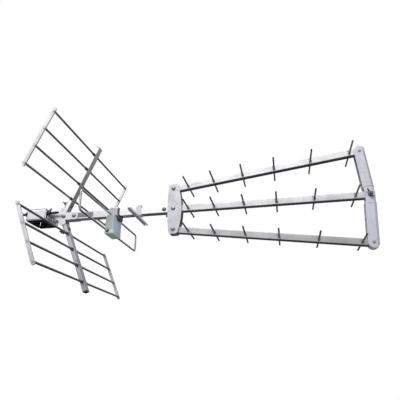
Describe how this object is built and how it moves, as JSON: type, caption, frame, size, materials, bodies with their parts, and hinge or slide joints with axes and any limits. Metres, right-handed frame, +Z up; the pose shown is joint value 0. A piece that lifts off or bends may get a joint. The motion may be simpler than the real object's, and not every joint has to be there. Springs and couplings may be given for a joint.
{
  "type": "tv antenna",
  "caption": "Outdoor TV aerial: rod-screen corner reflector, folded dipole with a junction box, fanned director booms tied by a front bracket, and a toothed mast clamp.",
  "frame": {"origin": "on the mast's axis, level with the axis of the main boom, inside the mast clamp", "axes": "+X forwards along the main boom to the front bracket, +Z up along the mast, +Y to the left of the pointing direction (away from the camera of the picture)"},
  "size_m": [0.8596, 0.4478, 0.3858],
  "materials": {
    "alu_tube": "drawn, satin",
    "alu_strip": "rolled, satin",
    "alu_rod": "drawn, satin",
    "zinc_sheet": "zinc plated sheet",
    "zinc_fastener": "zinc plated",
    "pale_plastic": "moulded, satin",
    "dark_plastic": "moulded, matt",
    "terminal_brass": "plain"
  },
  "bodies": {
    "aerial": {"bracket_spacers": "dark_plastic", "clamp_bracket": "zinc_sheet", "coax_socket": "zinc_fastener", "cross_bolts": "zinc_fastener", "dipole_box": "pale_plastic", "dipole_lid": "pale_plastic", "dipole_saddle": "zinc_sheet", "director_lower_1": "alu_rod", "director_lower_2": "alu_rod", "director_lower_3": "alu_rod", "director_lower_4": "alu_rod", "director_lower_5": "alu_rod", "director_lower_6": "alu_rod", "director_middle_1": "alu_rod", "director_middle_2": "alu_rod", "director_middle_3": "alu_rod", "director_middle_4": "alu_rod", "director_middle_5": "alu_rod", "director_middle_6": "alu_rod", "director_upper_1": "alu_rod", "director_upper_2": "alu_rod", "director_upper_3": "alu_rod", "director_upper_4": "alu_rod", "director_upper_5": "alu_rod", "director_upper_6": "alu_rod", "end_caps": "dark_plastic", "feed_terminals": "terminal_brass", "first_director": "alu_rod", "first_director_clip": "pale_plastic", "folded_dipole": "alu_rod", "front_arm_lower": "zinc_sheet", "front_arm_upper": "zinc_sheet", "front_bolt": "zinc_fastener", "front_jaw": "zinc_sheet", "hub_plate_far": "zinc_sheet", "hub_plate_near": "zinc_sheet", "lower_arm": "alu_tube", "lower_bar_far": "alu_strip", "lower_bar_near": "alu_strip", "lower_boom": "alu_tube", "lower_rods": "alu_rod", "lower_seat": "zinc_sheet", "main_boom": "alu_tube", "middle_boom": "alu_tube", "rear_bracket": "zinc_sheet", "rivets": "zinc_fastener", "rod_bushes": "dark_plastic", "saddle_screws": "zinc_fastener", "saddle_wedge": "dark_plastic", "seat_bolts": "zinc_fastener", "upper_arm": "alu_tube", "upper_bar_far": "alu_strip", "upper_bar_near": "alu_strip", "upper_boom": "alu_tube", "upper_rods": "alu_rod", "upper_seat": "zinc_sheet", "wing_nuts": "zinc_fastener"},
    "jaw": {"rear_jaw": "zinc_sheet", "clamp_bolts": "zinc_fastener", "clamp_nuts": "zinc_fastener"}
  },
  "joints": [
    {"name": "clamp_slide", "type": "slide", "parent": "aerial", "child": "jaw", "axis": [1, 0, 0], "range_m": [-0.014, 0.008]}
  ]
}
